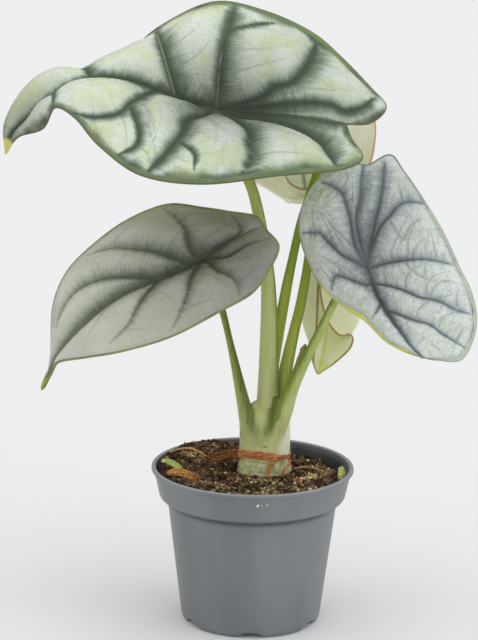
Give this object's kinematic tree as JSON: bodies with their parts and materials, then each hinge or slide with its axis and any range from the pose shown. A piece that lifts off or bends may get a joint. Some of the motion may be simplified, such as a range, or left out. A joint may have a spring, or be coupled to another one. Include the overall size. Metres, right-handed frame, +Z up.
{
  "type": "potted alocasia",
  "caption": "Potted foliage plant: quilted silver-green leaf blades on fleshy stalks rising from a stem base in soil, in a round tapered plastic nursery pot.",
  "frame": {"origin": "centre of the flat disc in the middle of the pot's underside", "axes": "+Z up along the pot's axis, -Y towards the side the plant is seen from, +X to the right seen from there"},
  "size_m": [0.2736, 0.1249, 0.3614],
  "materials": {
    "pot_plastic": "satin moulded polypropylene",
    "soil": "matt crumbly peat",
    "stem_skin": "satin living tissue",
    "stalk_skin": "satin living tissue",
    "dry_sheath": "matt papery",
    "blade_top": "satin quilted blade",
    "blade_left": "satin quilted blade",
    "blade_right": "satin quilted blade",
    "blade_young": "satin young blade",
    "root_fibre": "matt fibre",
    "green_stub": "matt wilted stub"
  },
  "bodies": {
    "root": {"pot": "pot_plastic", "soil": "soil", "stem_base": "stem_skin", "papery_collar": "dry_sheath", "stalk_top_leaf": "stalk_skin", "stalk_right_leaf": "stalk_skin", "stalk_left_leaf": "stalk_skin", "stalk_cupped_leaf": "stalk_skin", "stalk_rolled_leaf": "stalk_skin", "leaf_top": "blade_top", "leaf_right": "blade_right", "leaf_left": "blade_left", "leaf_cupped": "blade_young", "leaf_rolled": "blade_young", "root_fibre_left": "root_fibre", "root_fibre_right": "root_fibre", "green_stub_left": "green_stub", "green_stub_right": "green_stub", "dry_scrap_left": "dry_sheath"}
  },
  "joints": []
}
